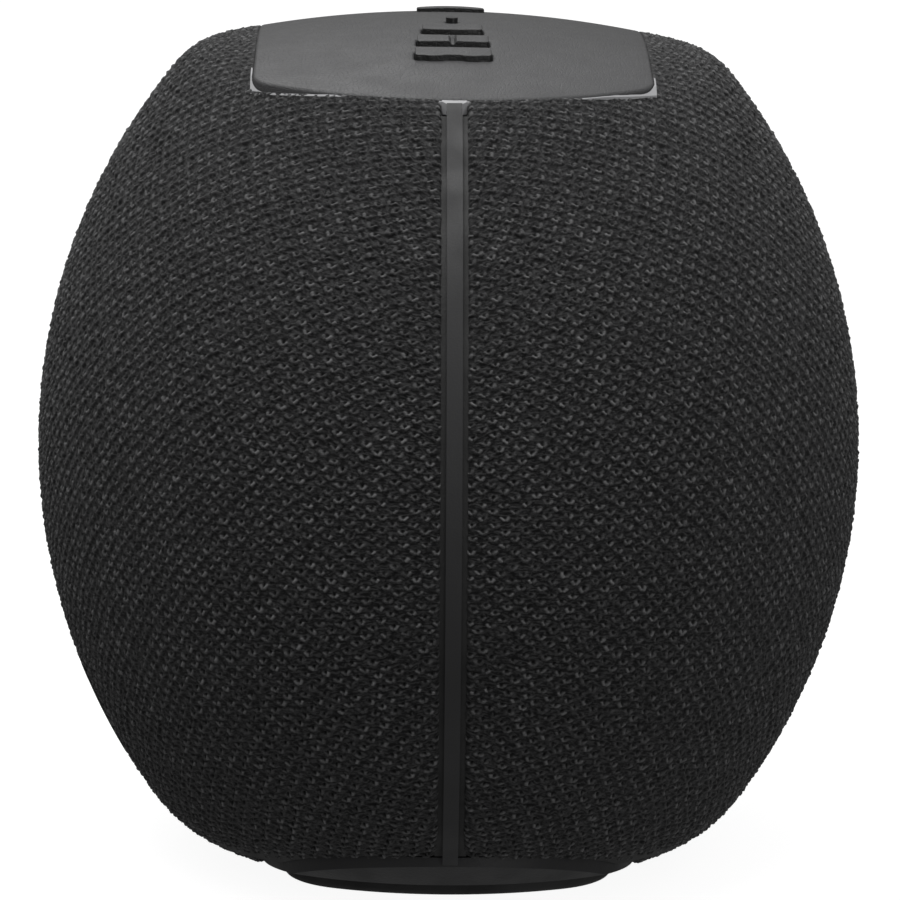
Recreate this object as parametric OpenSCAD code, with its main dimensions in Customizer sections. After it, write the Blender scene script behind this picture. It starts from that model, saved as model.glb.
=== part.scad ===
// Portable bluetooth speaker: a fabric-covered spheroid body that stands on a rubber foot.
// +X is the front, +Z is up, and the origin is on the floor under the middle of the body.
// The fabric is in two halves that meet at a narrow strip on the left and right ends.

/* [Body] */
// Half depth of the body, from the middle to the front pole
body_depth_half = 70; // [66:0.5:74]
// Radius of the body seen from the front
body_radius = 86.3; // [82:0.1:90]
// Height of the middle of the body above the floor
body_zc = 69.3; // [68:0.1:72]
// Radius of the profile's arc at the widest part of the body
girth_arc = 61; // [59:0.5:63]
// Height of the crown of the top dome above the middle of the body
crown_h = 73.1; // [72:0.1:75]
// Radius of the top dome
dome_r = 180; // [170:5:200]
// Distance of the dome's crown from the middle, so that the top falls a little to the front
dome_x = -2; // [-4:0.5:0]
// Depth of the underside below the middle of the body
belly_h = 68.3; // [67.5:0.1:68.6]
// Radius of the underside
belly_r = 400; // [300:10:500]

/* [Skins] */
// Thickness of the knitted fabric
fabric_t = 1.2; // [1:0.1:1.5]
// Thickness of the grille shells under the fabric
grille_t = 2; // [1.6:0.1:2.2]
// Distance from the middle plane to each fabric edge at the seam
seam_half = 2.1; // [1.8:0.1:2.6]
// Width of the seam strips
strip_w = 2.5; // [2:0.1:3]
// Diameter of the holes in the grilles
grille_hole = 6; // [4:0.5:7]

/* [Top] */
// Half width of the opening for the top panel
opening_half = 33; // [32:0.1:34]
// Radius of the arc at each end of the opening
opening_arc = 44.4; // [43:0.1:46]
// Distance from the middle to each end of the opening
opening_end = 57.3; // [57:0.1:58]
// Thickness of the top panel
panel_t = 2.5; // [2:0.1:3]
// Gap between the panel's outline and the opening
panel_gap = 0.5; // [0.4:0.1:0.7]
// Radius of the panel's corners
panel_corner = 8; // [6:0.5:10]
// Width of the light trim ring that shows at the panel's corners
trim_w = 5; // [4:0.5:6]

/* [Keys] */
// Height of the keys above the panel
key_rise = 0.85; // [0.7:0.05:1]
// Gap round each key in its hole in the panel
key_gap = 0.2; // [0.15:0.05:0.3]
// How far each key travels when it is pressed
key_travel = 0.6; // [0.4:0.1:0.7]

/* [Foot] */
// Radius of the round ends of the base plate
base_end_r = 31; // [30:0.5:32]
// Distance from the middle to each tip of the base plate
base_tip = 62; // [60:0.5:63]
// Half width of the rubber foot
foot_half_w = 27.5; // [26:0.5:28]
// Half length of the rubber foot
foot_half_l = 44; // [42:0.5:45]
// Radius of the foot's corners
foot_corner = 14; // [12:0.5:16]
// Radius of the arc at each end of the foot
foot_arc = 46; // [42:1:60]
// Thickness of the rubber foot
foot_t = 3.6; // [3.2:0.1:3.8]

/* [Cabinet] */
// Distance from the body's surface to the outside of the cabinet
cabinet_inset = 3.6; // [3.5:0.1:3.8]
// Thickness of the cabinet walls
cabinet_wall = 3; // [2.5:0.1:3.2]
// Distance from the middle plane to the outer face of each baffle
baffle_x = 44; // [43:0.5:45]
// Height of the cabinet's ceiling above the middle of the body
cabinet_top = 56; // [55:0.1:56]

/* [Driver] */
// Outer radius of the driver's flange
driver_r = 46; // [44:0.5:47]
// Height of the driver's axis relative to the middle of the body
driver_z = -2; // [-4:0.5:0]

/* [Passive radiator] */
// Outer radius of the radiator's frame
radiator_r = 40; // [38:0.5:41]
// Height of the radiator's axis relative to the middle of the body
radiator_z = 8; // [6:0.5:9]

/* [Battery] */
// Radius of a battery cell
cell_r = 9.2; // [9:0.05:9.3]
// Length of a battery cell
cell_l = 65; // [64:0.5:66]

/* [Ports] */
// Width of the port bezel
port_w = 36; // [34:0.5:38]
// Height of the port bezel
port_h = 14; // [12:0.5:14]
// Height of the ports relative to the middle of the body
port_z = -44; // [-46:0.5:-43]

/* [Hidden] */
$fn = 72;
big_fn = 200;
huge = 300;
fit_gap = 0.1;              // clearance between pieces of the static assembly
corner_steps = 8;
end_steps = 20;
cap_steps = 8;

// Profile of the body: an oval of four arcs, revolved about the X axis
pole_arc = (pow(body_depth_half, 2) + pow(body_radius, 2) - 2 * body_radius * girth_arc)
    / (2 * body_depth_half - 2 * girth_arc);
girth_centre = body_radius - girth_arc;
pole_centre = pole_arc - body_depth_half;
arc_split = pole_centre / (pole_arc - girth_arc);

grille_inset = fabric_t + fit_gap;
opening_centre = opening_end - opening_arc;

// Where each tab of the trim ends and the seam strip begins
tab_end = opening_end + 0.9;

// Heights of the stack under the top panel
deck_z = body_zc + cabinet_top + 0.2;
deck_t = 3;
board_z = deck_z + 4.2;
board_t = 1.6;
mat_z = board_z + board_t + 0.05;
mat_t = 0.65;
mat_dome_h = 1.35;
stem_z = mat_z + mat_dome_h + key_travel + 0.2;
post_x = 24;
post_y = 30;

// Keys: each entry is [y, width, length]
bar_l = 4.4;
key_corner = 0.6;
power_corner = 1.6;
volume_up_at = [-37.4, 12.4, bar_l];
play_at = [-29.6, 11.7, bar_l];
volume_down_at = [-21.1, 9.9, bar_l];
power_at = [10.3, 11.5, 9];
pairing_at = [27, 9.9, bar_l];
key_places = [volume_up_at, play_at, volume_down_at, power_at, pairing_at];
led_y = -12.4;
led_r = 1;

// Cabinet
cabinet_floor = 7.3;
cabinet_half_gap = 0.6;
baffle_t = 4;
boss_r = 4.5;
boss_places = [[55, 0], [-55, 0], [40, 38], [-40, 38], [40, -38], [-40, -38]];
grille_peg_places = [[50, 20], [-50, 20], [50, -22], [-50, -22]];
base_screw_x = 14;
base_screw_y = 38;
base_screw_places = [for (x = [-1, 1], y = [-1, 1]) [x * base_screw_x, y * base_screw_y]];
foot_recess_z = foot_t + 0.1;

// Driver and radiator
driver_hole = driver_r - 6;
cone_r = driver_r - 13;
coil_r = 12;
driver_screw_r = driver_r - 3;
radiator_cone_r = radiator_r - 13.5;
radiator_screw_r = radiator_r - 3;

// Electronics
pcb_x = -10;
pcb_t = 1.6;
pcb_w = 68;
pcb_z0 = -22;
pcb_h = 56;
pcb_screw_places = [[31, -19], [-31, -19], [31, 31], [-31, 31]];
cell_z = -47.5;
cell_x = [-10, -29.5];
port_floor_x = -55;
port_board_x = -49;

// ---------- shared forms ----------

module between_x(x0, x1) {
    translate([x0, -huge / 2, -huge / 2])
        cube([x1 - x0, huge, huge * 2]);
}

module between_z(z0, z1) {
    translate([-huge / 2, -huge / 2, z0])
        cube([huge, huge, z1 - z0]);
}

// One half of the oval profile, drawn with the radius along x and the depth along y
module oval_profile(inset) {
    split = (girth_arc - inset) * arc_split;
    intersection() {
        translate([girth_centre, 0])
            circle(girth_arc - inset, $fn = big_fn);
        translate([girth_centre, -split])
            square([huge, 2 * split]);
    }
    translate([0, -split])
        square([girth_centre, 2 * split]);
    for (side = [-1, 1])
        intersection() {
            translate([0, -side * pole_centre])
                circle(pole_arc - inset, $fn = big_fn);
            translate([0, side > 0 ? split : -huge])
                square([huge, huge - split]);
        }
}

// The whole oval body without its dome and underside
module spheroid(inset) {
    translate([0, 0, body_zc])
        rotate([0, 90, 0])
            rotate_extrude($fn = big_fn)
                oval_profile(inset);
}

module dome_ball(inset) {
    translate([dome_x, 0, body_zc + crown_h - dome_r])
        sphere(dome_r - inset, $fn = big_fn);
}

module belly_ball(inset) {
    translate([0, 0, body_zc - belly_h + belly_r])
        sphere(belly_r - inset, $fn = 2 * big_fn);
}

// The outer form of the speaker, moved inwards by inset
module body_form(inset) {
    intersection() {
        spheroid(inset);
        dome_ball(inset);
        belly_ball(inset);
    }
}

module shell(inset, thickness) {
    difference() {
        body_form(inset);
        body_form(inset + thickness);
    }
}

// The opening as a column that reaches up from the middle of the body
module opening_column(grow) {
    translate([0, 0, body_zc + 20])
        linear_extrude(100)
            intersection() {
                square([2 * (opening_half + grow), huge], center = true);
                union() {
                    for (side = [-1, 1])
                        translate([0, side * opening_centre])
                            circle(opening_arc + grow, $fn = big_fn);
                }
            }
}

function arc_points(centre, r, a0, a1, steps) =
    [for (i = [0:steps]) centre + r * [cos(a0 + (a1 - a0) * i / steps), sin(a0 + (a1 - a0) * i / steps)]];

// Outline with straight sides, an arc at each end and round corners that run into it smoothly
module eased_outline(half_w, half_l, arc, corner) {
    corner_x = half_w - corner;
    corner_rise = sqrt(pow(arc - corner, 2) - pow(corner_x, 2));
    corner_y = half_l - arc + corner_rise;
    meet = atan2(corner_rise, corner_x);
    end_points = concat(
        arc_points([corner_x, corner_y], corner, 0, meet - 1, corner_steps),
        arc_points([0, half_l - arc], arc, meet, 180 - meet, end_steps),
        arc_points([-corner_x, corner_y], corner, 181 - meet, 180, corner_steps)
    );
    polygon(concat(end_points, -end_points));
}

module panel_outline(grow) {
    g = grow - panel_gap;
    eased_outline(opening_half + g, opening_end + g, opening_arc + g, panel_corner + grow);
}

module foot_outline(grow) {
    eased_outline(foot_half_w + grow, foot_half_l + grow, foot_arc + grow, foot_corner + grow);
}

// Straight bar with small round corners, along x
module bar_outline(w, l, corner) {
    square([w - 2 * corner, l], center = true);
    square([w, l - 2 * corner], center = true);
    for (x = [-1, 1], y = [-1, 1])
        translate([x * (w / 2 - corner), y * (l / 2 - corner)])
            circle(corner);
}

module base_outline(grow) {
    reach = base_tip - base_end_r;
    square([2 * (base_end_r + grow), 2 * reach], center = true);
    for (side = [-1, 1])
        translate([0, side * reach])
            circle(base_end_r + grow, $fn = big_fn);
}

module base_column(grow) {
    translate([0, 0, -10])
        linear_extrude(60)
            base_outline(grow);
}

// Children are profiles with the radius along x and the way forward along y
module revolve_x(x, z) {
    translate([x, 0, body_zc + z])
        rotate([0, 90, 0])
            rotate_extrude($fn = big_fn / 2)
                children();
}

module ring_profile(r0, r1, u0, u1) {
    translate([r0, u0])
        square([r1 - r0, u1 - u0]);
}

// Cylinder along x from x0 to x1, at y and at z above the middle of the body
module rod_x(r, x0, x1, y, z) {
    translate([x0, y, body_zc + z])
        rotate([0, 90, 0])
            cylinder(h = x1 - x0, r = r);
}

module box(x0, x1, y0, y1, z0, z1) {
    translate([x0, y0, z0])
        cube([x1 - x0, y1 - y0, z1 - z0]);
}

// Screw along +X: its head starts at x0
module screw_x(x0, y, z, head_r, head_h, shaft_r, shaft_l) {
    slot_half = head_r * 0.6;
    difference() {
        rod_x(head_r, x0, x0 + head_h, y, z);
        for (cross = [[0.4, slot_half], [slot_half, 0.4]])
            box(x0 - 1, x0 + head_h * 0.6, y - cross[0], y + cross[0],
                body_zc + z - cross[1], body_zc + z + cross[1]);
    }
    rod_x(shaft_r, x0 + head_h, x0 + head_h + shaft_l, y, z);
}

// Screw along +Z: its head starts at z0
module screw_z(x, y, z0, head_r, head_h, shaft_r, shaft_l) {
    translate([x, y, z0]) {
        difference() {
            cylinder(h = head_h, r = head_r);
            box(-0.4, 0.4, -head_r * 0.6, head_r * 0.6, -1, head_h * 0.6);
            box(-head_r * 0.6, head_r * 0.6, -0.4, 0.4, -1, head_h * 0.6);
        }
        translate([0, 0, head_h])
            cylinder(h = shaft_l, r = shaft_r);
    }
}

// ---------- fabric, grilles and strips ----------

module port_window(grow) {
    box(-90, -baffle_x - fit_gap, -port_w / 2 - grow, port_w / 2 + grow,
        body_zc + port_z - port_h / 2 - grow, body_zc + port_z + port_h / 2 + grow);
}

// Half of a skin on the front side, open at the top and at the base
module half_skin(inset, thickness, edge_x, opening_grow, base_grow) {
    difference() {
        intersection() {
            shell(inset, thickness);
            between_x(edge_x, body_depth_half + 10);
        }
        opening_column(opening_grow);
        base_column(base_grow);
    }
}

module fabric_half() {
    half_skin(0, fabric_t, seam_half, 0, 0.15);
}

module grille_holes() {
    rings = 4;
    for (ring = [1:rings])
        for (i = [0:6 * ring + 1])
            rotate([360 * i / (6 * ring + 2), 0, 0])
                translate([45, 0, 11 * ring])
                    rotate([0, 90, 0])
                        cylinder(h = 40, d = grille_hole, $fn = 24);
}

module grille_half() {
    difference() {
        half_skin(grille_inset, grille_t, seam_half + 0.5, 0.3, 0.4);
        translate([0, 0, body_zc])
            grille_holes();
    }
    difference() {
        for (p = grille_peg_places)
            rod_x(2.5, baffle_x + fit_gap, body_depth_half, p[0], p[1]);
        difference() {
            between_x(0, huge / 2);
            body_form(grille_inset + grille_t - 0.5);
        }
    }
}

module front_fabric() {
    color("dimgray")
        fabric_half();
}

module rear_fabric() {
    color("dimgray")
        difference() {
            mirror([1, 0, 0])
                fabric_half();
            port_window(0.15);
        }
}

module front_grille() {
    color("black")
        grille_half();
}

module rear_grille() {
    color("black")
        difference() {
            mirror([1, 0, 0])
                grille_half();
            port_window(0.4);
        }
}

// Narrow strip that fills the seam from the trim down to the base plate
module seam_strip() {
    outer_r = body_radius - fit_gap;
    inner_r = body_radius - grille_inset - grille_t;
    intersection() {
        difference() {
            rod_x(outer_r, -strip_w / 2, strip_w / 2, 0, 0, $fn = big_fn);
            rod_x(inner_r, -strip_w, strip_w, 0, 0, $fn = big_fn);
        }
        union() {
            box(-huge, huge, -huge, -tab_end - fit_gap, body_zc, body_zc + 63.4);
            box(-huge, huge, -huge, -base_tip - fit_gap, body_zc - 60, body_zc + 1);
        }
    }
}

module seam_strip_left() {
    color("gray")
        seam_strip();
}

module seam_strip_right() {
    color("gray")
        mirror([0, 1, 0])
            seam_strip();
}

// ---------- top ----------

// Small tab at each end of the trim, between the fabric edges and over the end of the seam strip
module trim_tab() {
    intersection() {
        body_form(0.15);
        between_z(body_zc + 61.5, body_zc + crown_h);
        linear_extrude(200)
            polygon([[-2, 2 - opening_end], [2, 2 - opening_end], [2, -opening_end - 0.1],
                [1.25, -tab_end], [-1.25, -tab_end], [-2, -opening_end - 0.1]]);
    }
}

module top_trim() {
    color("silver")
        difference() {
            union() {
                intersection() {
                    body_form(0.3);
                    opening_column(-fit_gap);
                    between_z(deck_z + deck_t + fit_gap, body_zc + crown_h);
                }
                trim_tab();
                mirror([0, 1, 0])
                    trim_tab();
            }
            translate([0, 0, body_zc])
                linear_extrude(100)
                    panel_outline(-trim_w);
            difference() {
                translate([0, 0, body_zc])
                    linear_extrude(100)
                        panel_outline(0.15);
                dome_ball(panel_t + fit_gap);
            }
        }
}

module key_outline_volume_up(grow) {
    bar_outline(volume_up_at[1] + 2 * grow, bar_l + 2 * grow, key_corner + grow);
    for (x = [-3, 3])
        translate([x, -bar_l / 2 + 1.2])
            circle(1.6 + grow);
}

module key_outline_play(grow) {
    bar_outline(play_at[1] + 2 * grow, bar_l + 2 * grow, key_corner + grow);
}

module key_outline_volume_down(grow) {
    bar_outline(volume_down_at[1] + 2 * grow, bar_l + 2 * grow, key_corner + grow);
    intersection() {
        translate([0, 22.2])
            circle(24.8 + grow, $fn = big_fn);
        translate([0, -2])
            square([volume_down_at[1] - 2, 2.2 + 2 * grow], center = true);
    }
}

module key_outline_power(grow) {
    bar_outline(power_at[1] + 2 * grow, power_at[2] + 2 * grow, power_corner + grow);
}

module key_outline_pairing(grow) {
    bar_outline(pairing_at[1] + 2 * grow, bar_l + 2 * grow, key_corner + grow);
}

module key_column(y, z0, h) {
    translate([0, y, z0])
        linear_extrude(h)
            children();
}

// Cap between the mat and the top, where children(0) is its outline and children(1) its flange
module key_solid(y, rise) {
    stop = panel_t + 0.2;
    flange_t = 1;
    intersection() {
        key_column(y, body_zc, 90)
            children(0);
        dome_ball(-rise);
        between_z(stem_z, huge);
        difference() {
            dome_ball(-rise);
            dome_ball(stop + flange_t / 2);
        }
    }
    intersection() {
        key_column(y, body_zc, 90)
            children(1);
        difference() {
            dome_ball(stop);
            dome_ball(stop + flange_t);
        }
    }
    intersection() {
        translate([0, y, stem_z])
            cylinder(h = 20, r = 1.6);
        dome_ball(stop + flange_t / 2);
    }
}

module top_panel() {
    color("slategray")
        difference() {
            union() {
                intersection() {
                    translate([0, 0, body_zc])
                        linear_extrude(100)
                            panel_outline(0);
                    difference() {
                        dome_ball(0);
                        dome_ball(panel_t);
                    }
                }
                for (x = [-post_x, post_x], y = [-post_y, post_y])
                    intersection() {
                        translate([x, y, deck_z + deck_t])
                            cylinder(h = 20, r = 3);
                        dome_ball(panel_t / 2);
                    }
            }
            key_column(volume_up_at[0], body_zc, 90) key_outline_volume_up(key_gap);
            key_column(play_at[0], body_zc, 90) key_outline_play(key_gap);
            key_column(volume_down_at[0], body_zc, 90) key_outline_volume_down(key_gap);
            key_column(power_at[0], body_zc, 90) key_outline_power(key_gap);
            key_column(pairing_at[0], body_zc, 90) key_outline_pairing(key_gap);
            translate([0, led_y, body_zc])
                cylinder(h = 90, r = led_r + 0.1);
            for (x = [-post_x, post_x], y = [-post_y, post_y])
                translate([x, y, deck_z])
                    cylinder(h = 8.5, r = 1.3);
        }
}

module key_volume_up() {
    color("black")
        key_solid(volume_up_at[0], key_rise) {
            key_outline_volume_up(0);
            key_outline_volume_up(1);
        }
}

// The play key has a groove down its middle, which follows the slope of the dome
module key_play() {
    tilt = asin(-play_at[0] / dome_r);
    color("black")
        difference() {
            key_solid(play_at[0], key_rise) {
                key_outline_play(0);
                key_outline_play(1);
            }
            translate([0, play_at[0], body_zc + crown_h + key_rise - dome_r * (1 - cos(tilt))])
                rotate([90 + tilt, 0, 0])
                    cylinder(h = 10, r = 0.6, center = true);
        }
}

module key_volume_down() {
    color("black")
        key_solid(volume_down_at[0], key_rise) {
            key_outline_volume_down(0);
            key_outline_volume_down(1);
        }
}

// The power key has a crowned top, cut by a ball that is tangent to the dome's slope
module key_power() {
    crown_ball_r = 60;
    tilt = asin(power_at[0] / dome_r);
    reach = dome_r + key_rise - crown_ball_r;
    color("black")
        intersection() {
            key_solid(power_at[0], key_rise + 0.1) {
                key_outline_power(0);
                key_outline_power(1);
            }
            translate([0, reach * sin(tilt), body_zc + crown_h - dome_r + reach * cos(tilt)])
                sphere(crown_ball_r, $fn = big_fn);
        }
}

module key_pairing() {
    color("black")
        key_solid(pairing_at[0], key_rise) {
            key_outline_pairing(0);
            key_outline_pairing(1);
        }
}

module status_led() {
    color("white")
        intersection() {
            translate([0, led_y, mat_z + mat_t + fit_gap])
                cylinder(h = 30, r = led_r);
            dome_ball(-0.8);
        }
}

// Silicone sheet with one rubber dome under each key
module key_mat() {
    color("lightgray") {
        box(-9, 9, -46, 32, mat_z, mat_z + mat_t);
        for (k = key_places)
            translate([0, k[0], mat_z])
                cylinder(h = mat_dome_h, r = 2);
    }
}

module button_board() {
    color("green")
        difference() {
            box(-12, 12, -48, 34, board_z, board_z + board_t);
            for (y = [-45.5, 31.5])
                translate([-9.5, y, board_z - 1])
                    cylinder(h = 5, r = 1);
        }
}

module top_deck() {
    color("black")
        difference() {
            union() {
                intersection() {
                    body_form(7);
                    opening_column(3);
                    between_z(deck_z, deck_z + deck_t);
                }
                for (x = [-9.5, 9.5], y = [-44, -10, 30])
                    translate([x, y, deck_z])
                        cylinder(h = board_z - deck_z - 0.05, r = 2);
            }
            for (x = [-post_x, post_x], y = [-post_y, post_y]) {
                translate([x, y, deck_z - 1])
                    cylinder(h = 2.9, r = 2.8);
                translate([x, y, deck_z - 1])
                    cylinder(h = 10, r = 1.5);
            }
        }
}

module deck_screws() {
    color("silver")
        for (x = [-post_x, post_x], y = [-post_y, post_y])
            screw_z(x, y, deck_z + 0.2, 2.6, 1.6, 1.2, 6);
}

// ---------- cabinet ----------

module cabinet_space(inset, x0, x1, margin) {
    intersection() {
        body_form(inset);
        between_x(x0, x1);
        between_z(cabinet_floor + margin, body_zc + cabinet_top - margin);
    }
}

// Front half of the cabinet with its bosses, before its holes are cut
module cabinet_half(pilot_r) {
    difference() {
        union() {
            difference() {
                cabinet_space(cabinet_inset, cabinet_half_gap, baffle_x, 0);
                cabinet_space(cabinet_inset + cabinet_wall, -1, baffle_x - baffle_t, cabinet_wall);
            }
            for (p = boss_places)
                rod_x(boss_r, cabinet_half_gap, baffle_x - 1, p[0], p[1]);
            intersection() {
                for (y = [-base_screw_y, base_screw_y])
                    translate([base_screw_x, y, cabinet_floor + 1])
                        cylinder(h = 9, r = 3);
                body_form(cabinet_inset);
            }
        }
        for (p = boss_places)
            rod_x(pilot_r, -1, 14, p[0], p[1]);
        for (y = [-base_screw_y, base_screw_y])
            translate([base_screw_x, y, cabinet_floor - 1])
                cylinder(h = 9, r = 1.25);
    }
}

module front_cabinet() {
    color("black")
        difference() {
            cabinet_half(1.5);
            rod_x(driver_hole, baffle_x - baffle_t - 1, baffle_x + 1, 0, driver_z, $fn = big_fn);
            for (i = [0:3])
                let (a = 45 + 90 * i)
                    rod_x(1.5, baffle_x - baffle_t - 1, baffle_x + 1,
                        driver_screw_r * cos(a), driver_z + driver_screw_r * sin(a));
        }
}

module rear_cabinet() {
    color("black")
        difference() {
            union() {
                mirror([1, 0, 0])
                    cabinet_half(1.7);
                for (p = pcb_screw_places)
                    rod_x(3, -baffle_x + 1, pcb_x - 0.1, p[0], p[1]);
            }
            for (p = boss_places)
                rod_x(3.1, -baffle_x - 1, -8, p[0], p[1]);
            for (p = pcb_screw_places)
                rod_x(1.3, pcb_x - 8, pcb_x + 1, p[0], p[1]);
            rod_x(radiator_r - 7, -baffle_x - 1, -baffle_x + baffle_t + 1, 0, radiator_z, $fn = big_fn);
            for (i = [0:3])
                let (a = 45 + 90 * i)
                    rod_x(1.5, -baffle_x - 1, -baffle_x + baffle_t + 1,
                        radiator_screw_r * cos(a), radiator_z + radiator_screw_r * sin(a));
        }
}

module cabinet_gasket() {
    color("dimgray")
        difference() {
            cabinet_space(cabinet_inset + 0.6, -0.5, 0.5, 0.6);
            cabinet_space(cabinet_inset + cabinet_wall - 0.6, -1, 1, cabinet_wall - 0.6);
        }
}

module cabinet_screws() {
    color("silver")
        for (p = boss_places)
            screw_x(-10.5, p[0], p[1], 2.9, 2.4, 1.4, 20);
}

// ---------- driver ----------

module driver_frame() {
    seat = baffle_x + fit_gap;
    color("black")
        difference() {
            revolve_x(seat, driver_z)
                polygon([
                    [driver_r - 7, 0], [driver_r, 0], [driver_r, 3], [driver_r - 8, 3],
                    [driver_r - 8, -1], [24, -17], [14.5, -17], [14.5, -19], [25, -19],
                    [driver_r - 7, -2]
                ]);
            for (i = [0:3])
                let (a = 45 + 90 * i)
                    rod_x(1.7, seat - 1, seat + 4,
                        driver_screw_r * cos(a), driver_z + driver_screw_r * sin(a));
            for (i = [0:3])
                translate([seat - 8, 0, body_zc + driver_z])
                    rotate([90 * i, 0, 0])
                        translate([0, 0, 33])
                            cube([8, 22, 22], center = true);
        }
}

module driver_top_plate() {
    color("silver")
        revolve_x(baffle_x, driver_z)
            ring_profile(coil_r + 1.4, 24, -23, -19);
}

module driver_magnet() {
    color("dimgray")
        revolve_x(baffle_x, driver_z)
            ring_profile(16, 30, -33.1, -23.1);
}

module driver_pole_piece() {
    color("silver")
        revolve_x(baffle_x, driver_z) {
            ring_profile(0, 25, -37, -33.2);
            ring_profile(0, coil_r - 0.9, -34, -19);
        }
}

// Paper cone and its dust cap, in one profile
module driver_cone() {
    cap_r = 20;
    cap_thick = 0.8;
    cap_foot = [coil_r + 1.4, -6.95];
    cap_u = cap_foot[1] - sqrt(pow(cap_r, 2) - pow(cap_foot[0], 2));
    over_a = acos(cap_foot[0] / cap_r);
    under_a = acos(coil_r / (cap_r - cap_thick));
    color("black")
        revolve_x(baffle_x, driver_z)
            polygon(concat(
                [[coil_r, -9], [coil_r + 1.2, -9]],
                [[cone_r + 0.5, 1.2], [cone_r + 0.5, 2.2], [cone_r, 2.2]],
                arc_points([0, cap_u], cap_r, over_a, 90, cap_steps),
                arc_points([0, cap_u], cap_r - cap_thick, 90, under_a, cap_steps)
            ));
}

module driver_coil() {
    color("peru")
        revolve_x(baffle_x, driver_z)
            ring_profile(coil_r - 0.1, coil_r + 0.6, -27, -9.05);
}

module half_roll(r_mid, r_out, r_in, base) {
    intersection() {
        difference() {
            translate([r_mid, base])
                circle(r_out);
            translate([r_mid, base])
                circle(r_in);
        }
        translate([0, base])
            square([huge, r_out + 1]);
    }
}

module driver_surround() {
    color("dimgray")
        revolve_x(baffle_x, driver_z)
            half_roll(cone_r + 2.75, 2.1, 1.4, 1.3);
}

module driver_spider() {
    color("goldenrod")
        revolve_x(baffle_x, driver_z)
            ring_profile(coil_r + 0.7, 27, -13.4, -12.8);
}

module driver_screws() {
    color("silver")
        for (i = [0:3])
            let (a = 45 + 90 * i)
                mirror([1, 0, 0])
                    screw_x(-baffle_x - 5.1, driver_screw_r * cos(a), driver_z + driver_screw_r * sin(a),
                        2.7, 1.9, 1.35, 6.5);
}

// ---------- passive radiator ----------

module radiator_frame() {
    color("black")
        mirror([1, 0, 0])
            difference() {
                revolve_x(baffle_x + fit_gap, radiator_z)
                    ring_profile(radiator_r - 7.5, radiator_r, 0, 3);
                for (i = [0:3])
                    let (a = 45 + 90 * i)
                        rod_x(1.7, baffle_x - 1, baffle_x + 4,
                            radiator_screw_r * cos(a), radiator_z + radiator_screw_r * sin(a));
            }
}

module radiator_surround() {
    color("dimgray")
        mirror([1, 0, 0])
            revolve_x(baffle_x + fit_gap, radiator_z)
                half_roll(radiator_r - 10.5, 2.8, 2, 1.3);
}

module radiator_cone() {
    color("black")
        mirror([1, 0, 0])
            revolve_x(baffle_x + fit_gap, radiator_z)
                ring_profile(0, radiator_cone_r, 0.6, 2);
}

module radiator_weight() {
    color("silver")
        mirror([1, 0, 0])
            revolve_x(baffle_x + fit_gap, radiator_z)
                ring_profile(0, 12, -3.4, 0.55);
}

module radiator_screws() {
    color("silver")
        for (i = [0:3])
            let (a = 45 + 90 * i)
                screw_x(-baffle_x - 5.1, radiator_screw_r * cos(a), radiator_z + radiator_screw_r * sin(a),
                    2.7, 1.9, 1.35, 6.5);
}

// ---------- power and electronics ----------

module cell_rods(r, l) {
    for (x = cell_x)
        translate([x, 0, body_zc + cell_z])
            rotate([90, 0, 0])
                cylinder(h = l, r = r, center = true);
}

module battery_cells() {
    color("steelblue")
        cell_rods(cell_r, cell_l);
}

module battery_holder() {
    tray_z = cabinet_floor + cabinet_wall + 0.1;
    color("dimgray")
        difference() {
            intersection() {
                box(-39.4, 0.2, -cell_l / 2 - 2.3, cell_l / 2 + 2.3, tray_z, body_zc + cell_z + 1);
                body_form(cabinet_inset + cabinet_wall + 0.2);
            }
            cell_rods(cell_r + 0.1, cell_l + 0.4);
        }
}

module main_board() {
    color("green")
        difference() {
            box(pcb_x, pcb_x + pcb_t, -pcb_w / 2, pcb_w / 2,
                body_zc + pcb_z0, body_zc + pcb_z0 + pcb_h);
            for (p = pcb_screw_places)
                rod_x(1.6, pcb_x - 1, pcb_x + pcb_t + 1, p[0], p[1]);
        }
}

module board_capacitors() {
    color("black")
        for (y = [-24, -13], z = [22, 10])
            rod_x(4, pcb_x + pcb_t + 0.05, pcb_x + pcb_t + 10, y, z + 6);
}

module board_coils() {
    color("dimgray")
        for (y = [8, 20])
            box(pcb_x + pcb_t + 0.05, pcb_x + pcb_t + 6, y - 4.5, y + 4.5, body_zc + 20, body_zc + 29);
}

module heat_sink() {
    color("silver") {
        box(pcb_x - 3, pcb_x - 0.05, -16, 16, body_zc - 8, body_zc + 16);
        for (y = [-16:5:14])
            box(pcb_x - 12, pcb_x - 2.9, y, y + 2, body_zc - 8, body_zc + 16);
    }
}

module board_screws() {
    color("silver")
        for (p = pcb_screw_places)
            mirror([1, 0, 0])
                screw_x(-pcb_x - pcb_t - 1.9, p[0], p[1], 2.6, 1.8, 1.2, 7);
}

// ---------- ports ----------

module port_bezel() {
    z0 = body_zc + port_z - port_h / 2;
    z1 = z0 + port_h;
    color("black")
        difference() {
            intersection() {
                body_form(-0.1);
                box(-90, -baffle_x - fit_gap, -port_w / 2, port_w / 2, z0, z1);
            }
            box(-90, port_floor_x, -port_w / 2 + 2, port_w / 2 - 2, z0 + 2, z1 - 2);
            box(port_floor_x + 2, 0, -port_w / 2 + 2, port_w / 2 - 2, z0 + 2, z1 - 2);
            box(port_floor_x - 1, 0, -12.8, -3.2, body_zc + port_z - 1.8, body_zc + port_z + 1.8);
            rod_x(3.1, port_floor_x - 1, port_floor_x + 3, 8, port_z);
        }
}

module port_board() {
    color("green")
        box(port_board_x, port_board_x + pcb_t, -15.5, 15.5,
            body_zc + port_z - 4.5, body_zc + port_z + 4.5);
}

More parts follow.
